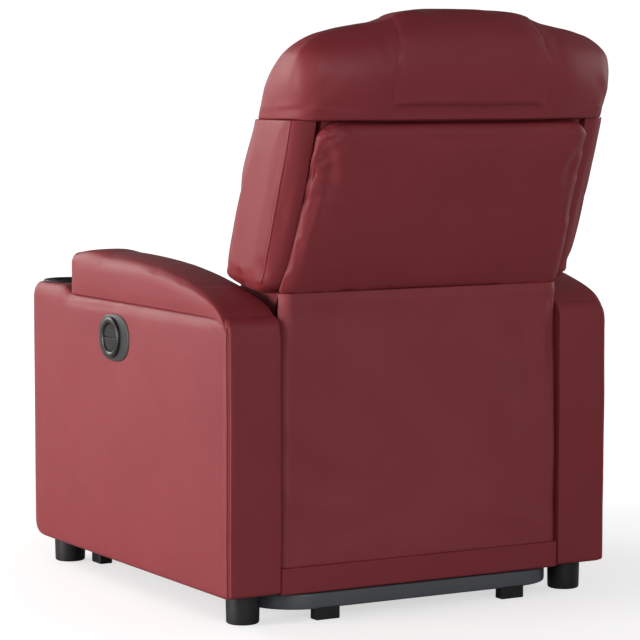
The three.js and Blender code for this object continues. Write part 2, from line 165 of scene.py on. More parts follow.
# Faux leather: a polyurethane skin on cloth, embossed with a pebble grain and given a satin topcoat. The
# grain breaks up the highlight, and the skin clouds and creases where it is stretched.
def fauxLeather(name, light, dark, rough, pebble=0.0022, crease=0.03):
    material, tree, place = newMaterial(name)
    cloud = addNode(tree, "ShaderNodeTexNoise", {"Vector": place, "Scale": 5.0, "Detail": 3.0})
    colour = blended(tree, cloud, dark, light)
    colour.color_ramp.elements[0].position = 0.3
    colour.color_ramp.elements[1].position = 0.7
    # pebbles are near 1.2 mm across, drawn at 2.2 mm so that they show
    grain = addNode(tree, "ShaderNodeTexVoronoi", {"Vector": place, "Scale": 1 / pebble})
    valley = addNode(tree, "ShaderNodeMapRange", {"Value": grain, "From Min": 0.35, "From Max": 0.75,
                     "To Min": 1.0, "To Max": 0.0})
    soft = addNode(tree, "ShaderNodeTexNoise", {"Vector": place, "Scale": 1 / crease, "Detail": 4.0,
                   "Distortion": 0.7})
    patch = addNode(tree, "ShaderNodeTexNoise", {"Vector": place, "Scale": 16.0, "Detail": 2.0})
    gloss = addNode(tree, "ShaderNodeMapRange", {"Value": patch, "From Min": 0.3, "From Max": 0.7,
                    "To Min": rough - 0.03, "To Max": rough + 0.04})
    broad = addNode(tree, "ShaderNodeBump", {"Height": soft, "Strength": 0.07, "Distance": 0.003})
    closeMaterial(tree, colour, gloss, valley, 0.10, 0.0005, broad, **leatherGloss)
    return material


# Powder-coated steel: paint melted on as a dry powder, so it is even, satin and very slightly orange-peeled.
def powderCoatedSteel(name, light, dark):
    material, tree, place = newMaterial(name)
    peel = addNode(tree, "ShaderNodeTexNoise", {"Vector": place, "Scale": 520.0, "Detail": 2.0})
    dust = addNode(tree, "ShaderNodeTexNoise", {"Vector": place, "Scale": 9.0, "Detail": 4.0})
    colour = blended(tree, dust, dark, light)
    gloss = addNode(tree, "ShaderNodeMapRange", {"Value": dust, "To Min": 0.36, "To Max": 0.56})
    closeMaterial(tree, colour, gloss, peel, 0.12, 0.0006, Metallic=0.25)
    return material


# Zinc-plated steel rod: drawn, ground along its length and plated, so its highlight has fine lines.
def zincPlatedSteel(name, light, dark):
    material, tree, place = newMaterial(name)
    stretch = addNode(tree, "ShaderNodeMapping", {"Vector": place, "Scale": (900.0, 20.0, 900.0)})
    lines = addNode(tree, "ShaderNodeTexNoise", {"Vector": stretch, "Scale": 1.0, "Detail": 3.0})
    colour = blended(tree, lines, dark, light)
    gloss = addNode(tree, "ShaderNodeMapRange", {"Value": lines, "To Min": 0.22, "To Max": 0.42})
    closeMaterial(tree, colour, gloss, lines, 0.08, 0.0003, Metallic=1.0)
    return material


# Moulded plastic, ABS or PP: spark-eroded tools leave a fine matt texture, worn a little smoother in patches.
def mouldedPlastic(name, light, dark, rough, grainMm=1.1):
    material, tree, place = newMaterial(name)
    grain = addNode(tree, "ShaderNodeTexNoise", {"Vector": place, "Scale": 1000 / grainMm, "Detail": 2.0})
    patch = addNode(tree, "ShaderNodeTexNoise", {"Vector": place, "Scale": 22.0, "Detail": 3.0})
    colour = blended(tree, patch, dark, light)
    gloss = addNode(tree, "ShaderNodeMapRange", {"Value": patch, "To Min": rough - 0.07,
                    "To Max": rough + 0.07})
    closeMaterial(tree, colour, gloss, grain, 0.15, 0.0004, IOR=1.46)
    return material


# Birch plywood: rotary-cut veneer, so its grain is long, pale and wavy.
def birchPlywood(name, light, dark):
    material, tree, place = newMaterial(name)
    stretch = addNode(tree, "ShaderNodeMapping", {"Vector": place, "Scale": (4.0, 60.0, 60.0)})
    growth = addNode(tree, "ShaderNodeTexNoise", {"Vector": stretch, "Scale": 1.0, "Detail": 6.0,
                     "Distortion": 0.4})
    colour = blended(tree, growth, dark, light)
    closeMaterial(tree, colour, 0.62, growth, 0.15, 0.0005)
    return material


# Elastic seat webbing: woven rubber and polypropylene, in crossed bands with a plain weave. Its threads are
# near 1 mm apart, and are drawn 3 mm apart so that they show.
def elasticWebbing(name, light, dark):
    material, tree, place = newMaterial(name)
    warp = addNode(tree, "ShaderNodeTexWave", {"Vector": place, "Scale": 16.0}, bands_direction="X")
    weft = addNode(tree, "ShaderNodeTexWave", {"Vector": place, "Scale": 100.0}, bands_direction="Y")
    woven = addNode(tree, "ShaderNodeMath", {0: warp.outputs["Fac"], 1: weft.outputs["Fac"]},
                    operation="MULTIPLY")
    colour = blended(tree, woven, dark, light)
    closeMaterial(tree, colour, 0.85, woven, 0.4, 0.001)
    return material


# Painted floor: matt, with a faint mottling. The camera also sees a glow in it, which grows away from the
# chair until the floor meets the backdrop.
def paintedFloor(name, light, dark):
    material, tree, place = newMaterial(name)
    mottle = addNode(tree, "ShaderNodeTexNoise", {"Vector": place, "Scale": 2.0, "Detail": 4.0})
    colour = blended(tree, mottle, dark, light)
    distance = addNode(tree, "ShaderNodeVectorMath", {0: place}, operation="LENGTH")
    glow = addNode(tree, "ShaderNodeMapRange", {"Value": distance.outputs["Value"], "From Min": 0.5,
                   "From Max": 3.0, "To Min": 0.62, "To Max": 1.0})
    ray = addNode(tree, "ShaderNodeLightPath").outputs["Is Camera Ray"]
    seen = addNode(tree, "ShaderNodeMath", {0: glow, 1: ray}, operation="MULTIPLY")
    shader = addNode(tree, "ShaderNodeBsdfPrincipled", {"Base Color": colour, "Roughness": 0.8,
                     "Emission Color": (1, 1, 1, 1), "Emission Strength": seen})
    addNode(tree, "ShaderNodeOutputMaterial", {"Surface": shader})
    return material


leather = fauxLeather("wine_faux_leather", "#842f35", "#7f2c32", 0.54)
# The piping and welts take a lighter copy of the wine leather, a painted highlight, so that the thin tubes
# read as bright lines along the seams.
highlightPipingLeather = fauxLeather("piping_faux_leather_painted_highlight", "#93393f", "#8c353b", 0.46)
backCloth = fauxLeather("flap_faux_leather", "#8a363b", "#823237", 0.56)
finishes = {
    "upholstery": leather,
    "lining": backCloth,
    "steel": powderCoatedSteel("powder_coated_steel", "#5c5f63", "#515458"),
    "rod_steel": zincPlatedSteel("zinc_plated_steel", "#c9cbcd", "#8d9092"),
    "black_plastic": mouldedPlastic("moulded_black_plastic", "#1a1b1c", "#131415", 0.5),
    "control_grey": mouldedPlastic("moulded_grey_plastic", "#2a2d2c", "#242726", 0.46),
    "plywood": birchPlywood("birch_plywood", "#c9a878", "#a98455"),
    "webbing": elasticWebbing("elastic_webbing", "#4a4a4c", "#1c1c1e"),
}
darkPlastic = mouldedPlastic("moulded_dark_plastic", "#121313", "#0e0f0f", 0.36)
floorPaint = paintedFloor("pale_floor_paint", "#c9c9c9", "#c0c0c0")
print("materials made,", len(bpy.data.materials))


def makeFloor():
    half = airSet["floorHalf"]
    mesh = bpy.data.meshes.new("floor")
    corners = [(-half, -half, 0), (half, -half, 0), (half, half, 0), (-half, half, 0)]
    mesh.from_pydata(corners, [], [(0, 1, 2, 3)])
    mesh.materials.append(floorPaint)
    floor = bpy.data.objects.new("floor", mesh)
    scene.collection.objects.link(floor)


makeCamera()
makeLights()
makeFloor()
print("camera, lights and floor made")


# From here on all lengths are millimetres, until a mesh is made.
def nodeBox(name):
    low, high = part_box(name)
    return np.array(low) * 1000, np.array(high) * 1000


# A smooth curve through (x, y) pairs: a cubic between each two, with slopes from their neighbours, and level
# outside them.
def curveThrough(at, table):
    xs, ys = np.array(table, float).T
    slope = np.gradient(ys, xs)
    i = np.clip(np.searchsorted(xs, at) - 1, 0, len(xs) - 2)
    span = xs[i + 1] - xs[i]
    t = np.clip((at - xs[i]) / span, 0, 1)
    return ((2 * t**3 - 3 * t**2 + 1) * ys[i] + (t**3 - 2 * t**2 + t) * span * slope[i]
            + (3 * t**2 - 2 * t**3) * ys[i + 1] + (t**3 - t**2) * span * slope[i + 1])


def ease(value, start, end):  # 0 before start, 1 after end, smooth between
    t = np.clip((value - start) / (end - start), 0, 1)
    return t * t * (3 - 2 * t)


# A box with rounded edges as one closed grid. Along each axis the grid steps evenly through the middle and by
# equal angles round the corners, and a point is its corner's centre plus the radii times a unit direction.
# seams are places along each axis where the rows stand close together.
def roundedBox(low, high, roundLow, roundHigh, step, seams=((), (), ()), cornerSteps=5):
    corner = np.tan(np.linspace(0, math.pi / 4, cornerSteps + 1))[1:]
    cores, leans = [], []
    for axis in range(3):
        start, end = low[axis] + roundLow[axis], high[axis] - roundHigh[axis]
        middle = np.linspace(start, end, max(2, round((end - start) / step)) + 1)
        for seam in seams[axis]:
            middle = np.concatenate([middle[np.abs(middle - seam) > 9], seam + np.array([-6, -2, 0, 2, 6.0])])
        middle = np.sort(middle)
        cores.append(np.concatenate([np.full(cornerSteps, start), middle, np.full(cornerSteps, end)]))
        leans.append(np.concatenate([-corner[::-1], 0 * middle, corner]))
    last = [len(core) - 1 for core in cores]
    sheets = []
    for a, b, c in ((0, 1, 2), (1, 2, 0), (2, 0, 1)):
        j, k = np.meshgrid(np.arange(last[b]), np.arange(last[c]), indexing="ij")
        for end, ring in ((0, ((0, 0), (0, 1), (1, 1), (1, 0))), (last[a], ((0, 0), (1, 0), (1, 1), (0, 1)))):
            quad = np.empty(j.shape + (4, 3), int)
            for n, (dj, dk) in enumerate(ring):
                quad[..., n, a], quad[..., n, b], quad[..., n, c] = end, j + dj, k + dk
            sheets.append(quad.reshape(-1, 3))
    lattice, index = np.unique(np.concatenate(sheets), axis=0, return_inverse=True)
    core = np.stack([cores[axis][lattice[:, axis]] for axis in range(3)], 1)
    lean = np.stack([leans[axis][lattice[:, axis]] for axis in range(3)], 1)
    lean /= np.linalg.norm(lean, axis=1, keepdims=True)
    points = core + lean * np.where(lean < 0, roundLow, roundHigh)
    return points, index.reshape(-1, 4), {"lattice": lattice, "last": last, "rest": points.copy()}


# The grid line that stays at two of the three lattice places, counted from the far end where negative.
def gridLine(points, grid, fixed):
    pick = np.ones(len(points), bool)
    for axis, place in fixed.items():
        pick &= grid["lattice"][:, axis] == (place if place >= 0 else grid["last"][axis] + 1 + place)
    free = next(axis for axis in range(3) if axis not in fixed)
    found = np.flatnonzero(pick)
    return points[found[np.argsort(grid["lattice"][found, free])]]


def outwardNormals(points, quads):
    corners = [points[quads[:, i]] for i in range(4)]
    face = np.cross(corners[2] - corners[0], corners[3] - corners[1])
    total = np.zeros_like(points)
    for i in range(4):
        np.add.at(total, quads[:, i], face)
    return total / np.maximum(np.linalg.norm(total, axis=1, keepdims=True), 1e-9)


# Sinks the surface along its normals by a bell curve of each point's distance from a seam. Where no depth is
# given, it is that of a seam through deep padding.
def grooved(points, quads, distance, depth=6, width=5, where=1.0):
    sink = depth * np.exp(-(distance / width) ** 2) * where
    return points - outwardNormals(points, quads) * sink[:, None]


# Creases: each is a groove with a soft ridge beside it, fading towards its ends.
# A crease is (middle, direction, half length, half width, depth).
def creased(points, quads, creases):
    normals = outwardNormals(points, quads)
    moved = points.copy()
    for middle, along, halfLength, halfWidth, depth in creases:
        along = np.array(along, float) / np.linalg.norm(along)
        offset = points - np.array(middle, float)
        lengthwise = offset @ along
        sideways = (offset * np.cross(normals, along)).sum(1)
        away = np.linalg.norm(offset - np.outer(lengthwise, along), axis=1)
        fade = np.exp(-(lengthwise / halfLength) ** 2) * np.exp(-(away / (5 * halfWidth)) ** 4)
        groove = np.exp(-(sideways / halfWidth) ** 2)
        ridge = 0.7 * np.exp(-((sideways - 1.9 * halfWidth) / halfWidth) ** 2)
        moved += normals * (depth * fade * (ridge - groove))[:, None]
    return moved


# Rounding that goes past a flat end is pressed down to a share of its height, which leaves a small edge.
def flattened(values, end, share=0.22):
    return np.where(values > end, end + (values - end) * share, values)


# Slow unevenness: a sum of a few waves in seeded directions, between about -1 and 1.
def waviness(points, wavelength, seed, count=7):
    chance = np.random.default_rng(seed)
    total = np.zeros(len(points))
    for _ in range(count):
        direction = chance.normal(size=3)
        direction *= 2 * math.pi / (wavelength * chance.uniform(0.7, 1.5)) / np.linalg.norm(direction)
        total += np.sin(points @ direction + chance.uniform(0, 2 * math.pi))
    return total / math.sqrt(count)


def plainMesh(name, points, faces):
    mesh = bpy.data.meshes.new(name)
    mesh.from_pydata((points / 1000).tolist(), [], [tuple(face) for face in faces])
    mesh.polygons.foreach_set("use_smooth", np.ones(len(mesh.polygons), bool))
    mesh.update()
    return mesh


# Swells a shape as cloth with air pressed into it. held says which points stay, cap is the furthest that a
# point may move, and grow is the share of spare cloth.
def inflated(points, quads, held, pressure=4.0, cap=24.0, grow=0.0, frames=20):
    mesh = plainMesh("swelling", points, quads.tolist())
    piece = bpy.data.objects.new("swelling", mesh)
    scene.collection.objects.link(piece)
    group = piece.vertex_groups.new(name="held")
    group.add(np.flatnonzero(held).tolist(), 1.0, "REPLACE")
    cloth = piece.modifiers.new("Cloth", "CLOTH")
    cloth.settings.quality = 6
    cloth.settings.bending_stiffness = 3.0
    cloth.settings.use_pressure = True
    cloth.settings.uniform_pressure_force = pressure
    cloth.settings.effector_weights.gravity = 0
    cloth.settings.vertex_group_mass = "held"
    cloth.settings.shrink_min = -grow
    cloth.point_cache.frame_end = frames
    for number in range(1, frames + 1):
        scene.frame_set(number)
    swollen = piece.evaluated_get(bpy.context.evaluated_depsgraph_get()).to_mesh()
    moved = np.empty(len(points) * 3)
    swollen.vertices.foreach_get("co", moved)
    shift = moved.reshape(-1, 3) * 1000 - points
    reach = np.linalg.norm(shift, axis=1, keepdims=True)
    bpy.data.objects.remove(piece)
    bpy.data.meshes.remove(mesh)
    scene.frame_set(1)
    return points + shift * np.minimum(1, cap / np.maximum(reach, 1e-6))


def makePiece(name, points, faces, material, body, replaced=(), slot="upholstery", levels=0, fill=None):
    mesh = plainMesh(name, points, faces.tolist() if isinstance(faces, np.ndarray) else faces)
    mesh.materials.append(material)
    piece = bpy.data.objects.new(name, mesh)
    scene.collection.objects.link(piece)
    if levels:
        finer = piece.modifiers.new("finer", "SUBSURF")
        finer.levels = finer.render_levels = levels
    if body:
        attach(piece, body)
    if replaced:
        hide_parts(*replaced)
    return piece


hands = {"left": 1, "right": -1}  # the sitter's left is +x


def placed(points, quads, side):  # a left-hand shape, or its mirror image for the right
    return (points, quads) if side > 0 else (points * (-1, 1, 1), quads[:, ::-1])


def makePair(name, points, quads, body, node, fill):
    for end, side in hands.items():
        makePiece(name + end, *placed(points, quads, side), leather, body, [node + end], levels=1, fill=fill)


def ringFaces(rows, sides):  # quads between rings that lie one after another
    i, j = np.meshgrid(np.arange(rows - 1), np.arange(sides), indexing="ij")
    k = (j + 1) % sides
    near, far = i * sides, (i + 1) * sides
    return np.stack([near + j, near + k, far + k, far + j], -1).reshape(-1, 4)


# Triangles that close the first and the last ring, each round its own extra point at the end of the list.
def endFans(rows, sides):
    last, extra = (rows - 1) * sides, rows * sides
    pairs = [(j, (j + 1) % sides) for j in range(sides)]
    return [(extra, b, a) for a, b in pairs] + [(extra + 1, last + a, last + b) for a, b in pairs]


# A tube: rings of points round each point of a path, closed at its ends by a fan of triangles.
def tubeAlong(path, radius, side, sides=8):
    ahead = np.gradient(path, axis=0)
    ahead /= np.linalg.norm(ahead, axis=1, keepdims=True)
    across = np.cross(side, ahead)
    across /= np.linalg.norm(across, axis=1, keepdims=True)
    up = np.cross(ahead, across)
    turn = np.linspace(0, 2 * math.pi, sides, endpoint=False)[None, :, None]
    rings = path[:, None] + radius * (np.cos(turn) * across[:, None] + np.sin(turn) * up[:, None])
    points = np.concatenate([rings.reshape(-1, 3), path[:1], path[-1:]])
    return points, ringFaces(len(path), sides).tolist() + endFans(len(path), sides)


# A turned shape: (radius, height) pairs carried round an axis, whose first and last pair are on the axis.
def turnedShape(profile, centre, axis=2, sides=56):
    radii, heights = np.array(profile[1:-1], float).T
    turn = np.linspace(0, 2 * math.pi, sides, endpoint=False)[None, :]
    radii, heights = radii[:, None], heights[:, None] + 0 * turn
    ring = np.stack([radii * np.cos(turn), radii * np.sin(turn), heights], -1)
    poles = np.array([[0, 0, profile[0][1]], [0, 0, profile[-1][1]]], float)
    points = np.roll(np.concatenate([ring.reshape(-1, 3), poles]), axis + 1, axis=1) + centre
    return points, ringFaces(len(radii), sides).tolist() + endFans(len(radii), sides)


# Arms: a padded box each, flat-sided, with a soft roll to its seams.
armSet = {"step": 11, "roundFront": 38, "roundRear": 22, "roundOuter": 13, "roundInner": 3, "roundTop": 28,
          "roundBottom": 8, "frontSweep": 50, "sweepShare": 0.85, "stepUp": 40, "crown": 4.5,
          "uneven": 0.8, "controlReach": 95, "holeRadius": 43.4, "piping": 1.5, "pipingRows": (0, 3)}


def makeArms():
    low, high = nodeBox("arm_left")
    padLow = nodeBox("arm_pad_left")[0]
    seamZ, raised = padLow[2] - 0.4, high[2]
    points, quads, grid = roundedBox(
        low, (high[0], high[1], seamZ), (armSet["roundInner"], armSet["roundFront"], armSet["roundBottom"]),
        (armSet["roundOuter"], armSet["roundRear"], armSet["roundTop"]), armSet["step"],
        seams=((), (padLow[1] - 4,), ()))
    rest = grid["rest"]
    # in front of the pad the top steps up to carry the cup holder
    stepUp = 1 - ease(rest[:, 1], padLow[1] + 6 - armSet["stepUp"], padLow[1] + 6)
    points[:, 2] += (raised - seamZ) * stepUp * ease(rest[:, 2], seamZ - 70, seamZ - 5)
    # the front's lower corner sweeps up in a quarter circle
    sweep = armSet["frontSweep"]
    ahead = np.clip(sweep - (rest[:, 1] - low[1]), 0, sweep)
    lift = armSet["sweepShare"] * (sweep - np.sqrt(sweep**2 - ahead**2))
    points[:, 2] += lift * (1 - ease(rest[:, 2], low[2], low[2] + 120))
    # the outer face is slightly crowned, and flat round the control
    control = np.add(*nodeBox("control_plate")) / 2
    away = np.hypot(rest[:, 1] - control[1], rest[:, 2] - control[2])
    clear = 1 - np.exp(-(away / armSet["controlReach"]) ** 2)
    across = np.clip((rest[:, 1] - low[1]) / (high[1] - low[1]) * 2 - 1, -1, 1)
    upward = np.clip((rest[:, 2] - low[2]) / (seamZ - low[2]) * 2 - 1, -1, 1)
    bulge = (1 - across**4) * (1 - upward**4)
    outer = ease(rest[:, 0], high[0] - 20, high[0])
    points[:, 0] += outer * bulge * clear * (armSet["crown"] + armSet["uneven"] * waviness(rest, 260, 3))
    rear = ease(rest[:, 1], high[1] - 25, high[1])
    points[:, 1] += rear * (1 - upward**4) * (1.5 + waviness(rest, 150, 5))
    points = creased(points, quads, [
        ((high[0] - 50, high[1], seamZ - 22), (1, 0, 0.06), 60, 5, 1.8),
        ((high[0], padLow[1] + 130, seamZ - 16), (0, 1, 0.02), 110, 5, 0.9),
        ((high[0], high[1] - 45, seamZ - 22), (0, 1, -0.5), 26, 4, 1.2),
    ])
    lines = [gridLine(points, grid, {0: -1 - row, 1: -1}) for row in armSet["pipingRows"]]
    for name, side in hands.items():
        arm = makePiece("arm_box_" + name, *placed(points, quads, side), leather, None, levels=1)
        openCup(arm, name)
        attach(arm, "chair")
        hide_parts("arm_" + name)
        for number, line in enumerate(lines):
            tube, faces = tubeAlong(line[3:-1] * (side, 1, 1), armSet["piping"], (0, 1, 0))
            makePiece(f"arm_piping_{name}_{number + 1}", tube, faces, highlightPipingLeather, "chair")


# Cuts the well for the cup holder out of an arm, after its subdivision.
def openCup(arm, name):
    low, high = nodeBox("cup_holder_" + name)
    centre = (low + high) / 2
    profile = [(0, 0), (armSet["holeRadius"], 0), (armSet["holeRadius"], 120), (0, 120)]
    points, faces = turnedShape(profile, (centre[0], centre[1], low[2] - 6))
    cutter = bpy.data.objects.new("cutter", plainMesh("cutter", points, faces))
    scene.collection.objects.link(cutter)
    cut = arm.modifiers.new("cut", "BOOLEAN")
    cut.operation = "DIFFERENCE"
    cut.solver = "EXACT"
    cut.object = cutter
    result = bpy.data.meshes.new_from_object(arm.evaluated_get(bpy.context.evaluated_depsgraph_get()))
    arm.modifiers.clear()
    arm.data = result
    result.name = arm.name
    bpy.data.objects.remove(cutter)


# Arm pads: a crescent side with a band rolled over it. The band runs on past the crescent and down over the
# rear roll of the arm: its upper and lower faces are two curves of one length along the pad, each with its
# own y and z, measured from the pad's low front corner.
padSet = {"step": 9, "length": 634, "round": 13, "frontRound": 26, "crown": 2, "inset": 2.5,
          "upperY": ((0, 0), (540, 540), (565, 564), (588, 588), (602, 602), (614, 614), (624, 622),
                     (634, 628.5)),
          "upperZ": ((0, 48), (9, 68), (30, 74.5), (155, 76.5), (345, 67.5), (447, 53), (535, 34), (565, 25),
                     (588, 14.5), (602, 5), (614, -8), (624, -21), (634, -36)),
          "lowerY": ((0, 0), (540, 540), (565, 564), (588, 585), (602, 595), (614, 606), (624, 614),
                     (634, 621)),
          "lowerZ": ((0, -4), (540, -4), (565, -4), (588, -5), (602, -8), (614, -17), (624, -28), (634, -38))}


def makeArmPads():
    low, high = nodeBox("arm_pad_left")
    low, high = low + (padSet["inset"], 0, 0), high - (padSet["inset"], 0, 0)
    thick = high[2] - low[2]
    points, quads, grid = roundedBox(
        (low[0], 0, 0), (high[0], padSet["length"], thick), (padSet["round"], padSet["frontRound"], 5),
        (padSet["round"], 10, 15), padSet["step"])
    rest = grid["rest"]
    share = rest[:, 2] / thick
    lower, upper = ([curveThrough(rest[:, 1], padSet[face + axis]) for axis in "YZ"]
                    for face in ("lower", "upper"))
    points[:, 1] = low[1] + lower[0] + share * (upper[0] - lower[0])
    points[:, 2] = low[2] + lower[1] + share * (upper[1] - lower[1])
    held = (rest[:, 2] < 8) | (rest[:, 1] > 575)
    points = inflated(points, quads, held, pressure=2, cap=3)
    across = np.clip((rest[:, 0] - low[0]) / (high[0] - low[0]) * 2 - 1, -1, 1)
    full = ease(share, 0.6, 1) * ease(upper[1] - lower[1], 8, 60)
    points[:, 2] += padSet["crown"] * (1 - across**2) * full
    points[:, 0] = np.clip(points[:, 0], low[0] - 1, high[0] + 3)
    points = creased(points, quads, [
        (((low[0] + high[0]) / 2, low[1] + 330, high[2] - 6), (1, 0.3, 0), 30, 9, 0.9),
        (((low[0] + high[0]) / 2, low[1] + 500, high[2] - 38), (1, -0.2, 0), 34, 8, 1.2),
    ])
    makePair("arm_cushion_", points, quads, "chair", "arm_pad_", fill=0.8)


# The back leans: (z, y) of its rear plane, measured from the wings' top rear corner.
leanAt = ((-283, -110), (-243, -89), (-193, -67), (-143, -49), (-93, -30), (-43, -12), (0, 0), (40, 10))


def leanY(z):  # y of the back's leaning rear plane at a height
    corner = nodeBox("wing_left")[1]
    return corner[1] + curveThrough(z - corner[2], leanAt)


wingSet = {"step": 8, "roundFront": 26, "roundRear": 36, "roundOuter": 30, "roundInner": 3, "roundTop": 10,
           "roundBottom": 20, "depth": 210.0, "welt": 1.5, "tuck": 4, "uneven": 0.6,
           "frontAt": ((0, 0), (30, 3), (71, 13), (102, 25), (134, 38), (165, 50), (207, 64), (240, 82),
                       (283, 108)),
           "bottomAt": ((0, 16), (0.2, 7), (0.5, 1), (0.85, -2), (1, 1))}


def makeWings():
    low, high = nodeBox("wing_left")
    depth, height = wingSet["depth"], high[2] - low[2] + wingSet["tuck"]
    points, quads, grid = roundedBox(
        (low[0] - 4, 0, 0), (high[0] + 1, depth, height + wingSet["roundTop"]),
        (wingSet["roundInner"], wingSet["roundFront"], wingSet["roundBottom"]),
        (wingSet["roundOuter"], wingSet["roundRear"], wingSet["roundTop"]), wingSet["step"])
    points[:, 2] = flattened(points[:, 2], height)
    share = points[:, 1] / depth
    bottom = curveThrough(share, wingSet["bottomAt"])
    rise = bottom + points[:, 2] / height * (height - bottom)
    front = low[1] + curveThrough(rise, wingSet["frontAt"])
    points[:, 2] = low[2] + rise
    points[:, 1] = front + share * (leanY(points[:, 2]) - front)
    held = (grid["rest"][:, 0] < low[0] + 1) | (grid["rest"][:, 2] > height - 2)
    points = inflated(points, quads, held, pressure=4, cap=5)
    waves = wingSet["uneven"] * waviness(grid["rest"], 120, 11)
    waves *= 1 - ease(points[:, 2], high[2] - 30, high[2])
    points += outwardNormals(points, quads) * waves[:, None]
    points = creased(points, quads, [
        ((high[0], low[1] + 45, low[2] + 36), (0, 1, -0.15), 34, 4, 1.5),
        ((high[0] - 4, low[1] + 120, low[2] + 14), (0, 1, 0.02), 60, 4, 1.2),
        ((high[0], low[1] + 60, low[2] + 110), (0, 0.5, 1), 50, 12, 1.0),
        ((high[0] - 20, high[1] - 58, low[2] + 150), (0, 0.4, 1), 110, 7, 1.6),
    ])
    line = gridLine(points, grid, {0: -1, 1: -3})
    makePair("back_wing_", points, quads, "backrest", "wing_", fill=0.75)
    for name, side in hands.items():
        tube, faces = tubeAlong(line[3:-3] * (side, 1, 1), wingSet["welt"], (1, 0, 0))
        makePiece("wing_welt_" + name, tube, faces, highlightPipingLeather, "backrest")


# Head: one roll in three sewn parts, its middle part the fullest.
headSet = {
    "step": 9, "halfWidth": 311, "height": 178, "sideHeight": 140, "seamX": 152, "zipZ": 24,
    "widthAt": ((0, 307), (55, 311), (90, 308), (110, 303), (125, 296), (140, 287), (180, 282)),
    "depth": 200, "zipSetBack": 4.5, "zipLip": 3.0, "uneven": 1.3,
    "topAt": ((0, 179), (60, 178.5), (120, 175), (144, 170), (166, 161), (200, 154), (250, 146), (280, 139),
              (311, 133)),
    "frontMiddle": ((0, 226), (30, 228), (70, 246), (100, 270), (135, 306), (160, 346), (178, 388)),
    "rearMiddle": ((0, 452), (30, 466), (60, 479), (86, 484), (110, 482), (135, 475), (160, 462), (178, 448)),
    "frontSide": ((0, 272), (20, 282), (40, 294), (60, 306), (80, 322), (100, 343), (120, 367), (140, 394)),
    "rearSide": ((0, 424), (20, 432), (60, 441), (90, 442), (110, 438), (125, 430), (140, 420)),
    "sideShare": ((0, 0), (142, 0.01), (165, 0.05), (200, 0.17), (240, 0.42), (280, 0.74), (311, 1)),
}


# The head's front and rear are two outlines, one for its middle and one for its ends, mixed by the distance
# from the middle, and its top steps down at the two seams.
def makeHead():
    low = nodeBox("head_pillow")[0]
    halfWidth, height, depth = headSet["halfWidth"], headSet["height"], headSet["depth"]
    seamX, zipZ = headSet["seamX"], headSet["zipZ"]
    points, quads, grid = roundedBox(
        (-halfWidth, 0, -12), (halfWidth, depth, height), (34, 34, 12), (34, 46, 46), headSet["step"],
        seams=((-seamX, seamX), (), (zipZ,)))
    rest = grid["rest"]
    points[:, 2] = -flattened(-points[:, 2], 0, 0.5)
    outward, share, level = np.abs(points[:, 0]), points[:, 1] / depth, points[:, 2] / height
    ends = curveThrough(outward, headSet["sideShare"])
    front, rear = ((1 - ends) * curveThrough(level * height, headSet[edge + "Middle"])
                   + ends * curveThrough(level * headSet["sideHeight"], headSet[edge + "Side"])
                   for edge in ("front", "rear"))
    rise = level * curveThrough(outward, headSet["topAt"])
    points[:, 0] *= curveThrough(rise, headSet["widthAt"]) / halfWidth
    points[:, 1] = front + share * (rear - front)
    points[:, 2] = low[2] + rise
    seamGap = np.abs(np.abs(rest[:, 0]) - seamX)
    held = (seamGap < 1) | (rest[:, 2] < 3)
    points = inflated(points, quads, held, pressure=3, cap=4, grow=0.002)
    points = grooved(points, quads, seamGap, 0.8, 3.2, ease(rest[:, 2], 4, 20))
    points = grooved(points, quads, seamGap, 1.0, 18, ease(rest[:, 2], 60, 120))
    # the pleat over the zip: the cover is set back below it, and its lip stands a little proud
    pleat = ease(share, 0.6, 0.8) * (1 - ease(np.abs(rest[:, 0]), seamX - 14, seamX - 2))
    below = ease(rest[:, 2], -4, 10) * (1 - ease(rest[:, 2], zipZ - 3, zipZ + 1))
    points[:, 1] -= headSet["zipSetBack"] * pleat * below
    points[:, 1] += headSet["zipLip"] * pleat * np.exp(-((rest[:, 2] - zipZ - 5) / 4.5) ** 2)
    waves = headSet["uneven"] * waviness(rest, 170, 21) * ease(seamGap, 0, 60) * ease(rest[:, 2], 0, 50)
    points += outwardNormals(points, quads) * waves[:, None]
    creases = []
    for flip in (-1, 1):
        creases += [((flip * 283, 445, low[2] + 40), (0.3 * flip, -1, -0.4), 40, 8, 1.2),
                    ((flip * 300, 400, low[2] + 14), (0, 1, 0.05), 50, 5, 1.4),
                    ((flip * 168, 470, low[2] + 120), (0.2 * flip, 0.2, 1), 34, 7, 1.0),
                    ((flip * 240, 455, low[2] + 16), (1, 0, 0.05 * flip), 70, 5, 1.2)]
    points = creased(points, quads, creases)
    makePiece("head_roll", points, quads, leather, "backrest",
              ["head_pillow", "head_side_left", "head_side_right"], levels=1, fill=0.8)


# Back panel: a padded board over the rear of the back, pulled in at its sides.
# Each pucker is (x, z, its direction in x and z, half length, half width, depth).
panelSet = {
    "step": 8, "halfWidth": 270, "height": 295, "depth": 40,
    "widthAt": ((0, 279), (50, 277), (100, 275), (150, 272), (200, 271), (245, 270), (275, 267), (295, 262)),
    "proudAt": ((0, 12), (50, 16), (100, 18), (150, 20), (200, 22), (250, 25), (293, 31)),
    "crown": 5, "uneven": 0.9, "rim": 30, "rimDepth": 2.0,
    "puckers": (
        (252, 262, -1, 0.8, 26, 5, 4.6), (254, 245, -1, 0.7, 24, 4.5, 5), (256, 229, -1, 0.9, 22, 4.5, 4.8),
        (254, 212, -1, 0.5, 30, 5.5, 4), (242, 191, -1, -0.5, 46, 9, 3),
        (236, 148, -1, -0.55, 50, 10, 2.4), (258, 170, -1, 0.3, 20, 4.5, 3.2),
        (-252, 232, 1, -0.9, 26, 5, 2.6), (-256, 196, 1, -0.5, 22, 4.5, 2.4),
        (-250, 120, 1, -0.6, 36, 7, 1.8), (-240, 262, 1, -1, 22, 4.5, 1.8)),
}


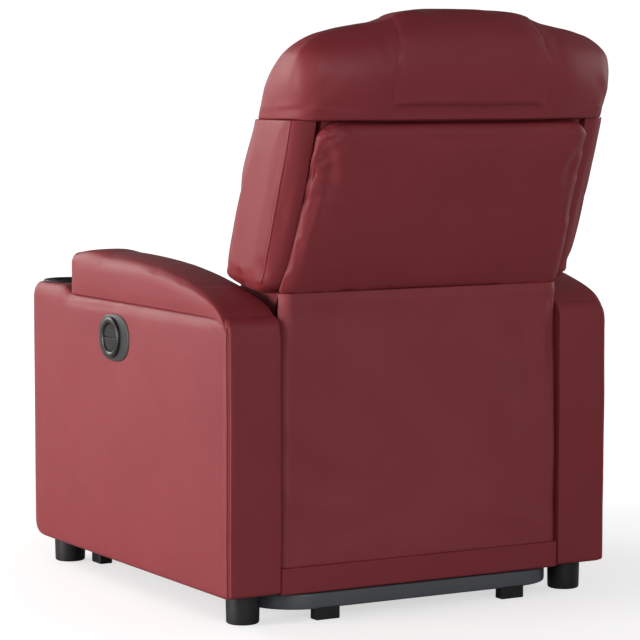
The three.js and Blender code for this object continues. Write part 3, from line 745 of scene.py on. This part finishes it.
def makeBackPanel():
    low = nodeBox("back_panel")[0]
    half, height, depth = panelSet["halfWidth"], panelSet["height"], panelSet["depth"]
    points, quads, grid = roundedBox((-half, 0, 0), (half, depth, height), (30, 4, 14), (30, 26, 26),
                                     panelSet["step"])
    rest = grid["rest"]
    share = rest[:, 1] / depth
    points[:, 0] *= curveThrough(rest[:, 2], panelSet["widthAt"]) / half
    # narrower in front, clear of the wings
    points[:, 0] *= 1 - 0.012 * (1 - share) * ease(rest[:, 2], 30, 60)
    points[:, 2] = low[2] + rest[:, 2]
    lean = leanY(points[:, 2])
    points[:, 1] = lean + 1 + share * (curveThrough(rest[:, 2], panelSet["proudAt"]) - 1)
    points = inflated(points, quads, rest[:, 1] < 6, pressure=3, cap=4, grow=0.006)
    across, upward = rest[:, 0] / half, rest[:, 2] / height * 2 - 1
    rear = ease(share, 0.7, 1)
    crown = panelSet["crown"] * (1 - across**2) * (1 - upward**4)
    points[:, 1] += rear * (crown + panelSet["uneven"] * waviness(rest, 190, 31))
    # the seam under the rolled rim
    rim = np.minimum(half - np.abs(rest[:, 0]), height - rest[:, 2])
    seam = np.exp(-((rim - panelSet["rim"]) / 8) ** 2)
    points[:, 1] -= rear * panelSet["rimDepth"] * seam * ease(rest[:, 2], 60, 140)
    creases = []
    for x, z, dx, dz, length, width, deep in panelSet["puckers"]:
        z += low[2]
        creases.append(((x, leanY(z) + 20, z), (dx, 0, dz), length, width, deep))
    points = creased(points, quads, creases)
    makePiece("rear_panel_cover", points, quads, leather, "backrest", ["back_panel"], levels=1, fill=0.7)


# Rear flap: each fold is (x, z, its direction in x and z, length, width, height).
flapSet = {
    "step": 7, "thickness": 3.2, "top": 558, "halfWidth": 279, "foldShare": 2.1, "uneven": 1.2, "swell": 3,
    "folds": (
        (150, 330, -1, -0.85, 190, 34, 3.4), (215, 210, -1, -0.6, 130, 26, 2.6),
        (60, 200, -1, -1.1, 160, 40, -2.6), (230, 110, -1, -0.35, 110, 22, 2.2),
        (-150, 250, 0.25, 1, 200, 45, 2.6), (-60, 390, -1, -0.12, 200, 26, -1.8),
        (-205, 330, 0.1, 1, 160, 26, -2.2), (-170, 60, 1, 0.35, 120, 24, 1.8),
        (120, 60, -1, 0.3, 150, 26, -1.6)),
}


# The flap is a hanging sheet: its depth is a sum of soft diagonal folds, each a bell curve across its line.
def makeFlap():
    low = nodeBox("rear_cover")[0]
    half, top = flapSet["halfWidth"], flapSet["top"]
    height = top - low[2]
    points, quads, grid = roundedBox((-half, 0, 0), (half, flapSet["thickness"], height), (1.5, 1.5, 1.5),
                                     (1.5, 1.5, 1.5), flapSet["step"], cornerSteps=2)
    x, z = grid["rest"][:, 0], grid["rest"][:, 2]
    depth = np.zeros(len(points))
    for fx, fz, dx, dz, length, width, proud in flapSet["folds"]:
        size = math.hypot(dx, dz)
        lengthwise = ((x - fx) * dx + (z - fz) * dz) / size
        sideways = ((z - fz) * dx - (x - fx) * dz) / size
        depth += proud * np.exp(-(lengthwise / length) ** 2 - (sideways / width) ** 2)
    depth *= flapSet["foldShare"] * ease(z, 0, 50) * (1 - ease(z, height - 60, height - 8))
    waves = flapSet["uneven"] * waviness(grid["rest"] * (1, 0, 1), 130, 41)
    depth += waves * ease(z, 0, 60) * (1 - ease(z, height - 70, height))
    edge = half - np.abs(x)
    depth -= 9 * np.exp(-(edge / 3.5) ** 2)  # the side edges turn in
    depth -= 6 * np.exp(-(edge / 11) ** 2) * ease(z, 250, 420)
    depth -= 4.5 * np.exp(-((x + half - 16) / 5) ** 2) * ease(z, 270, 330) * (1 - ease(z, 420, 455))
    depth += 3 * np.exp(-((x - half + 14) / 9) ** 2) * ease(z, 330, 430)
    depth += flapSet["swell"] * np.exp(-((z - height + 14) / 12) ** 2)  # under the bend
    points[:, 1] += low[1] + depth + 1.5 * ease(z, height - 60, height)
    points[:, 2] += low[2]
    flap = makePiece("rear_flap", points, quads, backCloth, None, slot="lining", levels=1)
    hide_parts("rear_cover")
    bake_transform(flap)


stripSet = {"step": 9, "reach": 3.4, "swell": 1.2, "uneven": 0.8}  # it reaches down towards the base


def makeStrip():
    low, high = nodeBox("rear_strip")
    points, quads, grid = roundedBox(low - (0, 0, stripSet["reach"]), high + (0, stripSet["swell"], 1.5),
                                     (5, 4, 4), (5, 6, 3), stripSet["step"])
    rest = grid["rest"]
    rear = ease(rest[:, 1], high[1] - 4, high[1])
    points[:, 1] += rear * stripSet["uneven"] * waviness(rest, 110, 51)
    makePiece("rear_hem_strip", points, quads, leather, "chair", ["rear_strip"], levels=1)


backCushionSet = {"step": 9, "seamX": 150, "seamZ": 198, "depth": 150,
                  "frontAt": ((0, -2), (58, 0), (108, 10), (198, 46), (278, 84), (343, 118))}


def makeBackCushion():
    low, high = nodeBox("back_cushion")
    half, height, depth = high[0], high[2] - low[2], backCushionSet["depth"]
    seamX, seamZ = backCushionSet["seamX"], backCushionSet["seamZ"]
    points, quads, grid = roundedBox(
        (-half, 0, 0), (half, depth + 20, height + 24), (28, 52, 34), (28, 20, 24), backCushionSet["step"],
        seams=((-seamX, seamX), (), (seamZ,)))
    rest = grid["rest"]
    share = flattened(points[:, 1], depth, 0.05) / depth
    points[:, 2] = low[2] + flattened(points[:, 2], height)
    front = low[1] + curveThrough(rest[:, 2], backCushionSet["frontAt"])
    rear = leanY(points[:, 2]) - 2 - 30 * (1 - ease(rest[:, 2], 0, 60))
    points[:, 1] = front + share * (rear - front)
    gapX, gapZ = np.abs(np.abs(rest[:, 0]) - seamX), np.abs(rest[:, 2] - seamZ)
    forward = 1 - ease(share, 0.3, 0.7)
    held = ((np.minimum(gapX, gapZ) < 1) & (share < 0.5)) | (share > 0.9) | (rest[:, 2] > height)
    points = inflated(points, quads, held, pressure=5, cap=24, grow=0.03)
    points[:, 0] = np.clip(points[:, 0], -half - 8, half + 8)
    points[:, 1] = np.minimum(points[:, 1], leanY(points[:, 2]) - 1)
    for seamGap in (gapX, gapZ):
        points = grooved(points, quads, seamGap, where=forward)
    makePiece("inner_back_cushion", points, quads, leather, "backrest", ["back_cushion"], levels=1, fill=0.8)


seatSet = {"step": 10, "height": 150, "seamY": 132,
           "topAt": ((0, 146), (60, 148), (227, 146), (417, 136), (625, 120))}


def makeSeatCushion():
    low, high = nodeBox("seat_cushion")
    half, length, height, seamY = high[0], high[1] - low[1], seatSet["height"], seatSet["seamY"]
    points, quads, grid = roundedBox((-half, 0, 0), (half, length, height), (20, 58, 18), (20, 22, 46),
                                     seatSet["step"], seams=((), (seamY,), ()))
    rest = grid["rest"]
    points[:, 2] = low[2] + rest[:, 2] / height * curveThrough(rest[:, 1], seatSet["topAt"])
    points[:, 1] += low[1] + 4
    gapY = np.abs(rest[:, 1] - seamY)
    above = ease(rest[:, 2], 60, 110)
    held = ((gapY < 1) & (rest[:, 2] > 70)) | (rest[:, 2] < 3)
    points = inflated(points, quads, held, pressure=4, cap=16, grow=0.02)
    points[:, 0] = np.clip(points[:, 0], -half - 1.5, half + 1.5)
    points[:, 1] = np.maximum(points[:, 1], low[1] - 4)
    points[:, 2] = np.maximum(points[:, 2], low[2])
    points = grooved(points, quads, gapY, where=above)
    makePiece("seat_cushion_cover", points, quads, leather, "chair", ["seat_cushion"], levels=1, fill=0.8)


footrestSet = {"step": 9, "setBack": 6}


def makeFootrestPad():
    low, high = nodeBox("footrest_pad")
    seamZ = (low[2] + high[2]) / 2
    points, quads, grid = roundedBox(low + (0, footrestSet["setBack"], 0), high, (18, 26, 24), (18, 5, 24),
                                     footrestSet["step"], seams=((), (), (seamZ,)))
    rest = grid["rest"]
    gapZ = np.abs(rest[:, 2] - seamZ)
    forward = 1 - ease(rest[:, 1], low[1] + 15, low[1] + 40)
    held = ((gapZ < 1) & (rest[:, 1] < high[1] - 20)) | (rest[:, 1] > high[1] - 8)
    points = inflated(points, quads, held, pressure=4, cap=9, grow=0.02)
    points[:, 1] = np.clip(points[:, 1], low[1] - 6, high[1])
    points[:, 0] = np.clip(points[:, 0], low[0] - 2, high[0] + 2)
    points = grooved(points, quads, gapZ, where=forward)
    makePiece("footrest_cushion", points, quads, leather, "footrest", ["footrest_pad"], levels=1, fill=0.75)


# A ring-shaped plate round a hole: each ring is the hole's edge moved by a share towards the outer outline.
# profile is (share, x) pairs and closes on itself; the outline is a superellipse.
def plateRound(centre, halfSize, power, hole, profile, sides=72):
    turn = np.linspace(0, 2 * math.pi, sides, endpoint=False)
    cosine, sine = np.cos(turn), np.sin(turn)
    outline = np.stack([np.sign(cosine) * np.abs(cosine) ** (2 / power) * halfSize[0] + centre[0],
                        np.sign(sine) * np.abs(sine) ** (2 / power) * halfSize[1] + centre[1]], 1)
    inner = np.stack([cosine * hole[2] + hole[0], sine * hole[2] + hole[1]], 1)
    shares, xs = np.array(profile, float).T
    flat = inner[None] + shares[:, None, None] * (outline - inner)[None]
    depths = np.broadcast_to(xs[:, None, None], flat.shape[:2] + (1,))
    points = np.concatenate([depths, flat], 2).reshape(-1, 3)
    i, j = np.meshgrid(np.arange(len(profile)), np.arange(sides), indexing="ij")
    k, m = (j + 1) % sides, (i + 1) % len(profile)
    return points, np.stack([i * sides + j, i * sides + k, m * sides + k, m * sides + j], -1).reshape(-1, 4)


controlSet = {"holeRadius": 25.2, "bezelPower": 2.5}


def makeControl():
    low, high = nodeBox("control_plate")
    ringLow, ringHigh = nodeBox("control_ring")
    centre, ringCentre = (low + high)[1:] / 2, (ringLow + ringHigh)[1:] / 2
    half, ringRadius, holeRadius = (high - low)[1:] / 2, (ringHigh - ringLow)[1] / 2, controlSet["holeRadius"]
    back, face = low[0] - 1, high[0]
    profile = [(0, back), (1, back), (1, face - 1.6), (0.97, face - 0.5), (0.92, face), (0.1, face)]
    profile += [(0, face)]
    points, quads = plateRound(centre, half, controlSet["bezelPower"], (*ringCentre, holeRadius), profile)
    makePiece("control_bezel", points, quads, finishes["control_grey"], "chair", ["control_plate"],
              slot="control_grey")
    low, high = ringLow[0], ringHigh[0]
    bend = np.linspace(0, math.pi, 9)
    profile = [(0, low), (1, low)]
    profile += [(0.5 + 0.5 * math.cos(a), low + 1 + (high - low - 1) * math.sin(a)) for a in bend]
    points, quads = plateRound(ringCentre, (ringRadius, ringRadius), 2, (*ringCentre, holeRadius), profile)
    makePiece("control_dial_ring", points, quads, darkPlastic, "chair", ["control_ring"], slot="control_grey")


footSet = {"round": 4, "glideHeight": 0.6}


def makeFeet():
    for end in ("front", "rear"):
        for name in hands:
            low, high = nodeBox(f"{end}_foot_{name}")
            radius, height = (high - low)[0] / 2, high[2] - low[2]
            bend = np.linspace(0, math.pi / 2, 6)
            edge, hollow = footSet["round"], footSet["glideHeight"]
            profile = [(0, hollow), (radius - 10, hollow), (radius - 8, 0)]
            profile += [(radius - edge - 0.8 + edge * math.sin(a), edge - edge * math.cos(a)) for a in bend]
            profile += [(radius - 0.3, height * 0.5), (radius, height - 1), (radius, height), (0, height)]
            points, faces = turnedShape(profile, (*((low + high) / 2)[:2], low[2]))
            makePiece(f"{end}_glide_{name}", points, faces, finishes["black_plastic"], "chair",
                      [f"{end}_foot_{name}"], slot="black_plastic")


cupSet = {"outer": 42.6, "inner": 38.5, "lipHeight": 4}


def makeCups():
    for name in hands:
        low, high = nodeBox("cup_holder_" + name)
        rim, height, lipHeight = (high - low)[0] / 2, high[2] - low[2], cupSet["lipHeight"]
        outer, inner = cupSet["outer"], cupSet["inner"]
        bend = np.linspace(0, math.pi, 9)
        profile = [(0, 0), (outer - 6, 0), (outer - 4, 1), (outer - 2, 4), (outer - 0.4, height - 7)]
        lip = (rim - inner) / 2
        profile += [(rim - 1, height - 4.2)]
        profile += [(inner + lip + lip * math.cos(a), height - lipHeight * (1 - math.sin(a))) for a in bend]
        profile += [(inner - 1, 8), (inner - 3, 5), (inner - 6, 4), (0, 4)]
        points, faces = turnedShape(profile, (*((low + high) / 2)[:2], low[2]))
        makePiece("cup_well_" + name, points, faces, finishes["black_plastic"], "chair",
                  ["cup_holder_" + name], slot="black_plastic")


barSet = {"thickness": 25, "skirt": 3.5, "bendSteps": 16, "sectionSides": 32, "squareness": 0.25}


# The rear bar: a rounded rectangle carried round two quarter bends and the straight between them. Its section
# is a superellipse, and its skirt reaches a little way down over the floor blocks.
def makeRearBar():
    low, high = nodeBox("base_rear_bar")
    thickness, sides, power = barSet["thickness"], barSet["sectionSides"], barSet["squareness"]
    bendRadius = high[1] - low[1] - thickness / 2
    turn = np.linspace(0, math.pi / 2, barSet["bendSteps"])
    centreX = high[0] - thickness / 2 - bendRadius
    quarter = np.stack([centreX + bendRadius * np.cos(turn), low[1] + bendRadius * np.sin(turn)], 1)
    path = np.concatenate([quarter, quarter[::-1] * (-1, 1)])
    path = np.concatenate([path[:1] - (0, 0.01), path, path[-1:] - (0, 0.01)])
    ahead = np.gradient(path, axis=0)
    ahead /= np.linalg.norm(ahead, axis=1, keepdims=True)
    across = np.stack([ahead[:, 1], -ahead[:, 0]], 1)
    around = np.linspace(0, 2 * math.pi, sides, endpoint=False)
    cosine, sine = np.cos(around), np.sin(around)
    low[2] -= barSet["skirt"]
    sectionX = np.sign(cosine) * np.abs(cosine) ** power * thickness / 2
    sectionZ = np.sign(sine) * np.abs(sine) ** power * (high[2] - low[2]) / 2 + (low[2] + high[2]) / 2
    flat = path[:, None] + across[:, None] * sectionX[None, :, None]
    rings = np.concatenate([flat, np.broadcast_to(sectionZ[None, :, None], flat.shape[:2] + (1,))], 2)
    last = (len(path) - 1) * sides
    quads = ringFaces(len(path), sides)[:, ::-1].tolist()
    quads += [tuple(range(sides)), tuple(range(last + sides - 1, last - 1, -1))]
    makePiece("base_rear_tube", rings.reshape(-1, 3), quads, finishes["steel"], "base", ["base_rear_bar"],
              slot="steel")


# CAD nodes that stay take the finish of their own material slot, but for the buttons, which are as dark as
# their ring, and the back's frame, which is sleeved in the cover's cloth.
def finishNodes():
    special = {"raise_button": darkPlastic, "lower_button": darkPlastic, "back_upright_left": backCloth,
               "back_upright_right": backCloth, "back_top_rail": backCloth}
    bySlot = {part["node"]: part["material_slot"] for part in frame["record"]["subparts"]}
    for name, node in frame["nodes"].items():
        for place in node.material_slots:
            place.material = special.get(name, finishes[bySlot[name]])


for stage in (makeArms, makeArmPads, makeWings, makeHead, makeBackPanel, makeFlap, makeStrip, makeBackCushion,
              makeSeatCushion, makeFootrestPad, makeControl, makeFeet, makeCups, makeRearBar, finishNodes):
    stage()
    print("done:", stage.__name__)
